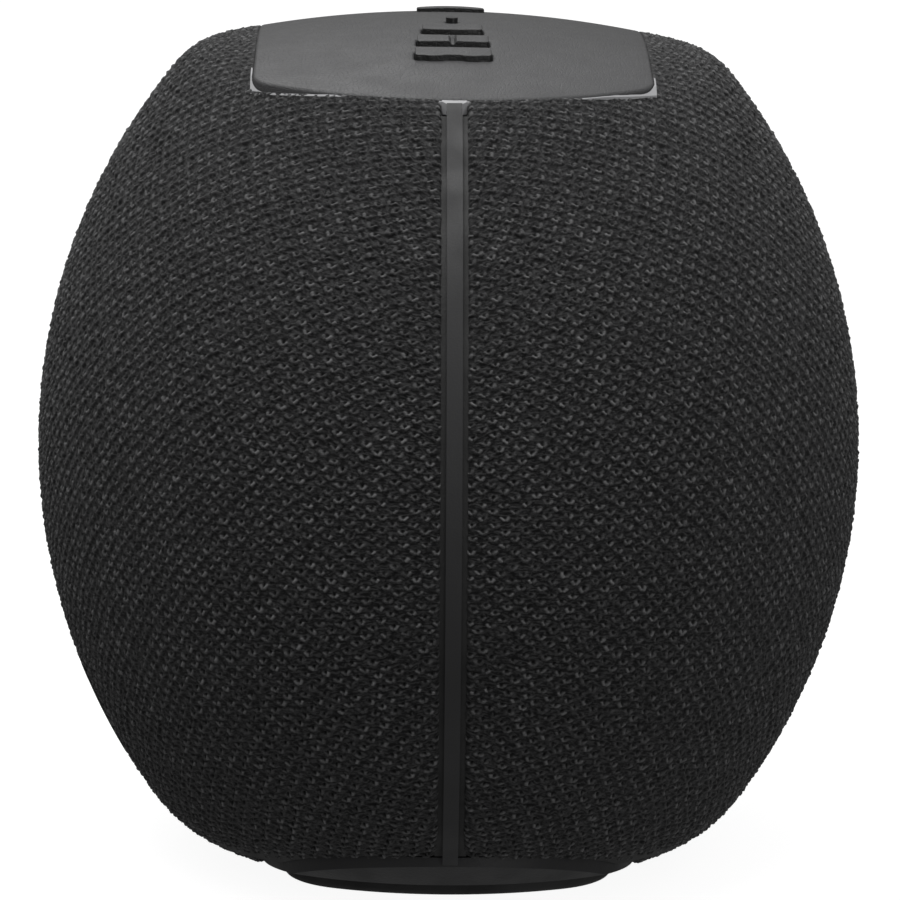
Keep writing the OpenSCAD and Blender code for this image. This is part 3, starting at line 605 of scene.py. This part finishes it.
def grid_mesh(name, points, quads, weave):
    """A mesh object from arrays, with the flat cloth coordinates kept as an attribute and a UV map."""
    mesh = bpy.data.meshes.new(name)
    mesh.vertices.add(len(points))
    mesh.vertices.foreach_set("co", (points * MM).astype(np.float32).ravel())
    mesh.loops.add(len(quads) * 4)
    mesh.loops.foreach_set("vertex_index", quads.astype(np.int32).ravel())
    mesh.polygons.add(len(quads))
    mesh.polygons.foreach_set("loop_start", np.arange(0, len(quads) * 4, 4, dtype=np.int32))
    mesh.polygons.foreach_set("use_smooth", np.ones(len(quads), bool))
    mesh.update(calc_edges=True)
    kept = mesh.attributes.new(WEAVE, "FLOAT_VECTOR", "POINT")
    flat = np.zeros((len(points), 3), np.float32)
    flat[:, :2] = weave
    kept.data.foreach_set("vector", flat.ravel())
    reach = np.array([STITCH_A, STITCH_B])
    spread = (weave * reach / (2 * (SEAM_LENGTH + 4)) + 0.5).astype(np.float32)
    layer = mesh.uv_layers.new(name="OFBake")
    layer.data.foreach_set("uv", spread[quads.ravel()].ravel())
    obj = bpy.data.objects.new(name, mesh)
    bpy.context.scene.collection.objects.link(obj)
    return obj


def cloth_half(name, side):
    """One half of the cloth skin: a grid in step with the stitches, cut and turned in along its edges."""
    step_a = STITCH_A / 12
    step_b = STITCH_B / 10
    reach_a = int(SEAM_LENGTH / step_a) + 2
    reach_b = int(SEAM_LENGTH / step_b) + 2
    a, b = np.meshgrid(
        np.arange(-reach_a, reach_a + 1) * step_a, np.arange(-reach_b, reach_b + 1) * step_b, indexing="ij"
    )
    edge = edge_distance(a, b, side)
    inside = edge > 0.12
    cell = inside[:-1, :-1] | inside[1:, :-1] | inside[1:, 1:] | inside[:-1, 1:]
    i, j = np.nonzero(cell)
    rows = a.shape[1]
    quads = np.stack([i * rows + j, (i + 1) * rows + j, (i + 1) * rows + j + 1, i * rows + j + 1], axis=1)
    used, quads = np.unique(quads, return_inverse=True)
    quads = quads.reshape(-1, 4)
    a, b = a.ravel()[used], b.ravel()[used]
    flat_area = len(quads) * step_a * step_b
    nudge = 0.15
    for _ in range(4):
        edge = edge_distance(a, b, side)
        slope_a = (edge_distance(a + nudge, b, side) - edge_distance(a - nudge, b, side)) / (2 * nudge)
        slope_b = (edge_distance(a, b + nudge, side) - edge_distance(a, b - nudge, side)) / (2 * nudge)
        steep = np.maximum(slope_a ** 2 + slope_b ** 2, 0.2)
        out = np.minimum(edge, 0)
        a = a - out * slope_a / steep
        b = b - out * slope_b / steep
    point = cloth_surface(a, b, side)
    along_a = cloth_surface(a + nudge, b, side) - cloth_surface(a - nudge, b, side)
    along_b = cloth_surface(a, b + nudge, side) - cloth_surface(a, b - nudge, side)
    normal = np.cross(along_a, along_b)
    normal *= np.sign((normal * point).sum(axis=1))[:, None]
    normal /= np.linalg.norm(normal, axis=1)[:, None]
    edge = np.clip(edge_distance(a, b, side), 0, FOLD_R)
    fold = FOLD_R - np.sqrt(np.maximum(FOLD_R ** 2 - (FOLD_R - edge) ** 2, 0))
    u, v = stitch_place(a, b)
    calm = smooth_step(0.0, CALM_WIDTH, opening_distance(point))
    point = point + normal * ((knit_height(u, v) - GROUND) * calm - fold)[:, None]
    weave = np.stack([u, v], axis=1)
    # The cut edge is turned straight in
    pairs = np.concatenate([quads[:, [0, 1]], quads[:, [1, 2]], quads[:, [2, 3]], quads[:, [3, 0]]])
    keys = np.sort(pairs, axis=1)
    keys = keys[:, 0].astype(np.int64) * len(a) + keys[:, 1]
    _, back, uses = np.unique(keys, return_inverse=True, return_counts=True)
    rim = pairs[uses[back] == 1]
    rim_points, rim_back = np.unique(rim, return_inverse=True)
    rim_back = rim_back.reshape(-1, 2)
    lowered = point[rim_points] - normal[rim_points] * SKIRT
    skirt = np.stack([rim[:, 1], rim[:, 0], rim_back[:, 0] + len(a), rim_back[:, 1] + len(a)], axis=1)
    points = np.concatenate([point, lowered]) + np.array([0, 0, BODY_Z])
    weave = np.concatenate([weave, weave[rim_points] + 0.02])
    faces = np.concatenate([quads, skirt])
    if side < 0:
        faces = faces[:, ::-1]
    return grid_mesh(name, points, faces, weave), flat_area


for label, side, grille in (("front", 1, "front_grille"), ("rear", -1, "rear_grille")):
    cloth, flat_area = cloth_half(f"{label}_knit_cover", side)
    finish_piece(cloth, LOOKS["knit_fabric"], HOUSING, "knit_fabric", f"{label}_fabric")

# ---------- panel, keys, seam liners and foot ----------


def dome_height(x, y, rise=0.0):
    """Height of the top dome over the middle of the body."""
    return CROWN_H - DOME_R + np.sqrt((DOME_R + rise) ** 2 - (x - DOME_X) ** 2 - y ** 2)


def split_long(ring, longest):
    """The ring with extra points along its long straight sides."""
    following = np.roll(ring, -1, axis=0)
    pieces = []
    for start, end in zip(ring, following):
        length = np.linalg.norm(end - start)
        count = int(length / longest) if length > 3 * longest else 1
        share = np.arange(count)[:, None] / count
        pieces.append(start + (end - start) * share)
    return np.concatenate(pieces)


def eased_outline(half_w, half_l, arc, corner, grow):
    """Outline with straight sides, an arc at each end and round corners, grown all round."""
    corner_x = half_w - corner
    rise = math.sqrt((arc - corner) ** 2 - corner_x ** 2)
    corner_y = half_l - arc + rise
    meet = math.atan2(rise, corner_x)
    right = np.linspace(0, meet, 13)[:-1]
    middle = np.linspace(meet, math.pi - meet, 33)[:-1]
    left = np.linspace(math.pi - meet, math.pi, 13)
    half = np.concatenate([
        ring_arc(corner_x, corner_y, corner + grow, right),
        ring_arc(0, half_l - arc, arc + grow, middle),
        ring_arc(-corner_x, corner_y, corner + grow, left),
    ])
    return split_long(np.concatenate([half, -half]), 2.5)


def ring_arc(x, y, radius, angles):
    return np.stack([x + radius * np.cos(angles), y + radius * np.sin(angles)], axis=1)


def bar_outline(width, length, corner, grow, bulge=None):
    """Bar along X with round corners, whose near side may bulge."""
    half_w = width / 2 - corner
    half_l = length / 2 - corner
    turn = np.linspace(0, math.pi / 2, 6)
    near = np.linspace(-half_w, half_w, 26)[1:-1]
    radius = corner + grow
    ring = np.concatenate([
        ring_arc(half_w, half_l, radius, turn),
        ring_arc(-half_w, half_l, radius, turn + math.pi / 2),
        ring_arc(-half_w, -half_l, radius, turn + math.pi),
        np.stack([near, np.full(len(near), -half_l - radius)], axis=1),
        ring_arc(half_w, -half_l, radius, turn + 1.5 * math.pi),
    ])
    if bulge is not None:
        low = ring[:, 1] < -half_l - radius + 0.001
        ring[low, 1] -= bulge(ring[low, 0])
    return ring


def two_bumps(x):
    return 0.4 * smooth_step(1.9, 0.8, np.abs(np.abs(x) - 3.0))


def one_bow(x):
    return 0.4 * np.maximum(1 - (x / 4.2) ** 2, 0)


def inside_ring(ring, points):
    """Which points lie inside a closed ring."""
    found = np.zeros(len(points), bool)
    for (x0, y0), (x1, y1) in zip(ring, np.roll(ring, -1, axis=0)):
        crosses = (y0 > points[:, 1]) != (y1 > points[:, 1])
        if y0 != y1:
            found ^= crosses & (points[:, 0] < x0 + (x1 - x0) * (points[:, 1] - y0) / (y1 - y0))
    return found


def plate(outline, holes, top, rounding, depth, spacing):
    """Points and faces of a plate with rounded upper edges, whose outlines are functions of growth."""
    flat_rings = [outline(-rounding)] + [hole(rounding) for hole in holes]
    margin = 0.4 * spacing
    low, high = flat_rings[0].min(axis=0), flat_rings[0].max(axis=0)
    grid = np.stack(np.meshgrid(
        np.arange(low[0], high[0], spacing), np.arange(low[1], high[1], spacing)
    ), axis=-1).reshape(-1, 2)
    keep = inside_ring(outline(-rounding - margin), grid)
    for hole in holes:
        keep &= ~inside_ring(hole(rounding + margin), grid)
    flat = np.concatenate(flat_rings + [grid[keep]])
    edges = []
    start = 0
    for ring in flat_rings:
        count = len(ring)
        edges += [(start + k, start + (k + 1) % count) for k in range(count)]
        start += count
    made = delaunay_2d_cdt([Vector(p) for p in flat], edges, [], 0, 1e-6)
    place = [sources[0] for sources in made[3]]
    triangles = np.array([[place[v] for v in face] for face in made[2]])
    middle = flat[triangles].mean(axis=1)
    keep = inside_ring(flat_rings[0], middle)
    for ring in flat_rings[1:]:
        keep &= ~inside_ring(ring, middle)
    triangles = triangles[keep]
    first, second, third = (flat[triangles[:, k]] for k in range(3))
    turn = np.cross(second - first, third - first)
    triangles[turn < 0] = triangles[turn < 0][:, ::-1]
    surface = top(flat[:, 0], flat[:, 1])
    points = [np.column_stack([flat, surface]), np.column_stack([flat, surface - depth])]
    faces = [tuple(face) for face in triangles] + [tuple(face[::-1] + len(flat)) for face in triangles]
    steps = np.linspace(0, math.pi / 2, 5)[1:]
    profile = [(rounding * (1 - math.sin(a)), rounding * (1 - math.cos(a))) for a in steps]
    profile.append((0.0, depth))
    total = 2 * len(flat)
    start = 0
    for number, shape in enumerate([outline] + list(holes)):
        sign = -1 if number == 0 else 1
        count = len(flat_rings[number])
        last = np.arange(start, start + count)
        bottom = last + len(flat)
        rings = []
        for inset, drop in profile:
            ring = shape(sign * inset)
            points.append(np.column_stack([ring, top(ring[:, 0], ring[:, 1]) - drop]))
            rings.append(np.arange(total, total + count))
            total += count
        for ring in rings + [bottom]:
            for k in range(count):
                n = (k + 1) % count
                quad = (last[k], ring[k], ring[n], last[n])
                faces.append(quad if number == 0 else quad[::-1])
            last = ring
        start += count
    return np.concatenate(points), faces


def loft(rings):
    """Points and faces of a solid skinned over rings that run the same way, from the top down."""
    count = len(rings[0])
    faces = [tuple(range(count)), tuple(range(len(rings) * count - 1, (len(rings) - 1) * count - 1, -1))]
    for r in range(len(rings) - 1):
        for k in range(count):
            n = (k + 1) % count
            faces.append((r * count + k, (r + 1) * count + k, (r + 1) * count + n, r * count + n))
    return np.concatenate(rings), faces


def level(ring, z):
    return np.column_stack([ring, np.full(len(ring), z)])


def full_ring(x, y, radius, count):
    return ring_arc(x, y, radius, np.linspace(0, 2 * math.pi, count, endpoint=False))


def post(x, y, radius, z_low, z_high):
    ring = full_ring(x, y, radius, 24)
    return loft([level(ring, z_high), level(ring, z_low)])


def merged(parts):
    points = []
    faces = []
    start = 0
    for some, theirs in parts:
        points.append(some)
        faces += [tuple(int(v) + start for v in face) for face in theirs]
        start += len(some)
    return np.concatenate(points), faces


def shape_piece(name, parts, material, body, slot, *replaced):
    points, faces = merged(parts)
    obj = mesh_object(name, points + np.array([0, 0, BODY_Z]), faces)
    obj.data.set_sharp_from_angle(angle=math.radians(40))
    return finish_piece(obj, LOOKS[material], body, slot, *replaced)


# Each key: its place along Y, width, length, corner and how its near side bulges
KEYS = {
    "volume_up": (-37.4, 12.4, BAR_L, KEY_CORNER, two_bumps),
    "play": (-29.6, 11.7, BAR_L, KEY_CORNER, None),
    "volume_down": (-21.1, 9.9, BAR_L, KEY_CORNER, one_bow),
    "power": (10.3, 11.5, 9.0, 1.6, None),
    "pairing": (27.0, 9.9, BAR_L, KEY_CORNER, None),
}
LED_Y = -12.4
LED_R = 1.0
STEM_Z = 64.2
STEM_R = 1.6
KEY_T = 3.2
FLANGE_DROP = 2.7
FLANGE_W = 1.0
POWER_CROWN_R = 60.0
GROOVE_R = 0.6


def key_outline(key, grow):
    y, width, length, corner, bulge = KEYS[key]
    return bar_outline(width, length, corner, grow, bulge) + np.array([0, y])


def flange_outline(key, grow):
    return key_outline(key, FLANGE_W + grow)


def key_hole(key, grow):
    return key_outline(key, KEY_GAP + grow)


def led_hole(grow):
    return full_ring(0, LED_Y, LED_R + 0.1 + grow, 32)


def key_top(key):
    y0 = KEYS[key][0]

    def height(x, y):
        z = dome_height(x, y, KEY_RISE)
        if key == "power":
            z = z - (x ** 2 + (y - y0) ** 2) / 2 * (1 / POWER_CROWN_R - 1 / DOME_R)
        if key == "play":
            z = z - np.sqrt(np.maximum(GROOVE_R ** 2 - x ** 2, 0))
        return z

    return height


def flange_top(x, y):
    return dome_height(x, y, -FLANGE_DROP)


for key, spec in KEYS.items():
    cap = plate(partial(key_outline, key), [], key_top(key), 0.18, KEY_T, 0.45)
    flange = plate(partial(flange_outline, key), [], flange_top, 0.1, 1.0, 1.5)
    stem_top = float(dome_height(0, spec[0])) - FLANGE_DROP - 0.5
    stem = post(0, spec[0], STEM_R, STEM_Z, stem_top)
    shape_piece(
        f"{key}_key_cap", [cap, flange, stem], "key_rubber", f"key_{key}_cap", "key_rubber", f"key_{key}"
    )


def panel_shape(grow):
    return eased_outline(
        OPENING_HALF - PANEL_GAP, OPENING_END - PANEL_GAP, OPENING_ARC - PANEL_GAP, PANEL_CORNER, grow
    )


PANEL_ROUND = 0.5
POST_X = 24.0
POST_Y = 30.0
POST_R = 3.0
POST_FOOT = 59.2
panel_holes = [partial(key_hole, key) for key in KEYS] + [led_hole]
panel_plate = plate(panel_shape, panel_holes, dome_height, PANEL_ROUND, PANEL_T, 2.0)
panel_posts = []
for x in (-POST_X, POST_X):
    for y in (-POST_Y, POST_Y):
        panel_posts.append(post(x, y, POST_R, POST_FOOT, float(dome_height(x, y)) - PANEL_T / 2))
panel_parts = [panel_plate] + panel_posts
shape_piece("top_touch_panel", panel_parts, "panel_rubber", HOUSING, "panel_rubber", "top_panel")

# Dark liners close the view into the cabinet on both sides of each seam strip
LINER_HALF = 2.55
LINER_R = (84.2, 85.3)
LINER_ANGLES = (-43, 46)
liner_section = [
    (-LINER_HALF, LINER_R[1]), (LINER_HALF, LINER_R[1]), (LINER_HALF, LINER_R[0]), (-LINER_HALF, LINER_R[0]),
]
for label, end in (("left", -1), ("right", 1)):
    rings = []
    for angle in np.radians(np.linspace(*LINER_ANGLES, 80)):
        y = end * math.cos(angle)
        z = math.sin(angle)
        rings.append(np.array([(x, r * y, r * z) for x, r in liner_section]))
    if end > 0:
        rings = rings[::-1]
    shape_piece(f"seam_liner_{label}", [loft(rings)], "grille_plastic", HOUSING, "grille_plastic")

# The foot's edges are rounded
FOOT_ROUND = 1.0


def foot_ring(grow, z):
    return level(eased_outline(FOOT_HALF_W, FOOT_HALF_L, FOOT_ARC, FOOT_CORNER, grow), z - BODY_Z)


foot_loft = [foot_ring(0.0, FOOT_T)]
for angle in np.linspace(math.pi / 2, 0, 6):
    foot_loft.append(foot_ring(-FOOT_ROUND * (1 - math.sin(angle)), FOOT_ROUND * (1 - math.cos(angle))))
shape_piece("rounded_foot", [loft(foot_loft)], "foot_rubber", HOUSING, "foot_rubber", "foot_pad")

bevel = NODES["base_plate"].modifiers.new("soft_edges", "BEVEL")
bevel.width = 1.0 * MM
bevel.segments = 3
bevel.limit_method = "ANGLE"
bevel.angle_limit = math.radians(50)

# ---------- floor, light and camera ----------

FLOOR_R = 6.0
FLOOR_SIDES = 96
FLOOR_GLOW = 0.93
floor_mesh = bpy.data.meshes.new("floor")
floor_points = level(full_ring(0, 0, FLOOR_R, FLOOR_SIDES), 0.0)
floor_mesh.from_pydata(floor_points.tolist(), [], [tuple(range(FLOOR_SIDES))])
floor = bpy.data.objects.new("floor", floor_mesh)
bpy.context.scene.collection.objects.link(floor)
floor_look = Look("look_floor")
floor_tone = floor_look.mix(floor_look.noise(3, 2), (0.2, 0.2, 0.2), (0.24, 0.24, 0.24))
floor_look.finish(floor_tone, 0.85, Specular_IOR_Level=0.1)
floor_look.shader.inputs["Emission Color"].default_value = (1, 1, 1, 1)
floor_look.shader.inputs["Emission Strength"].default_value = FLOOR_GLOW
floor_mesh.materials.append(floor_look.material)
floor.visible_diffuse = False
floor.visible_glossy = False

# Grey of the sky straight down, and at places from there (0) to the zenith (1), which is white
NADIR_GREY = 0.28
SKY_GREYS = ((0.52, 0.13), (0.68, 0.4))
SKY_STRENGTH = 0.82
world = bpy.data.worlds.new("studio")
bpy.context.scene.world = world
world.use_nodes = True
sky = world.node_tree
background = sky.nodes["Background"]
direction = sky.nodes.new("ShaderNodeTexCoord")
parts = sky.nodes.new("ShaderNodeSeparateXYZ")
sky.links.new(direction.outputs["Generated"], parts.inputs[0])
gradient = sky.nodes.new("ShaderNodeValToRGB")
height = sky.nodes.new("ShaderNodeMath")
height.operation = "MULTIPLY_ADD"
height.inputs[1].default_value = 0.5
height.inputs[2].default_value = 0.5
sky.links.new(parts.outputs["Z"], height.inputs[0])
sky.links.new(height.outputs[0], gradient.inputs["Fac"])
stops = gradient.color_ramp.elements
stops[0].color = (NADIR_GREY, NADIR_GREY, NADIR_GREY, 1)
stops[1].color = (1, 1, 1, 1)
for place, grey in SKY_GREYS:
    stops.new(place).color = (grey, grey, grey, 1)
pale = sky.nodes.new("ShaderNodeBackground")
pale.inputs["Color"].default_value = (1, 1, 1, 1)
pale.inputs["Strength"].default_value = 1.0
seen = sky.nodes.new("ShaderNodeLightPath")
pick = sky.nodes.new("ShaderNodeMixShader")
sky.links.new(gradient.outputs["Color"], background.inputs["Color"])
background.inputs["Strength"].default_value = SKY_STRENGTH
sky.links.new(seen.outputs["Is Camera Ray"], pick.inputs[0])
sky.links.new(background.outputs[0], pick.inputs[1])
sky.links.new(pale.outputs[0], pick.inputs[2])
sky.links.new(pick.outputs[0], sky.nodes["World Output"].inputs["Surface"])


def area_light(name, place, aim, size, power):
    light = bpy.data.lights.new(name, "AREA")
    light.shape = "RECTANGLE"
    light.size, light.size_y = size
    light.energy = power
    lamp = bpy.data.objects.new(name, light)
    lamp.location = place
    lamp.rotation_mode = "QUATERNION"
    lamp.rotation_quaternion = (Vector(aim) - Vector(place)).to_track_quat("-Z", "Y")
    bpy.context.scene.collection.objects.link(lamp)
    return lamp


centre = Vector((0, 0, BODY_Z * MM))
area_light("top_softbox", (-0.25, -0.35, 1.5), centre, (1.1, 1.1), 11)
area_light("front_fill", (0.9, -1.7, 0.35), centre, (0.9, 0.9), 3.6)
area_light("back_softbox", (-0.35, 1.15, 1.5), centre, (1.0, 1.0), 3.5)

# The camera stands level with the seam, a little above the middle of the body
ELEVATION = math.radians(9.0)
YAW = math.radians(0.65)
ROLL = math.radians(0.35)
DISTANCE = 0.9
FOCAL_LENGTH = 209.9
camera_data = bpy.data.cameras.new("camera")
camera = bpy.data.objects.new("camera", camera_data)
bpy.context.scene.collection.objects.link(camera)
bpy.context.scene.camera = camera
camera_data.lens = FOCAL_LENGTH
camera_data.sensor_width = 36.0
camera_data.clip_start = 0.05
camera_data.clip_end = 50
level_reach = math.cos(ELEVATION)
back = Vector((-math.sin(YAW) * level_reach, -math.cos(YAW) * level_reach, math.sin(ELEVATION)))
camera.location = centre + back * DISTANCE
camera.rotation_mode = "QUATERNION"
camera.rotation_quaternion = (-back).to_track_quat("-Z", "Y") @ Quaternion((0, 0, 1), ROLL)
camera_data.shift_x = 0.0018
camera_data.shift_y = -0.0109

bpy.context.scene.view_settings.view_transform = "Standard"
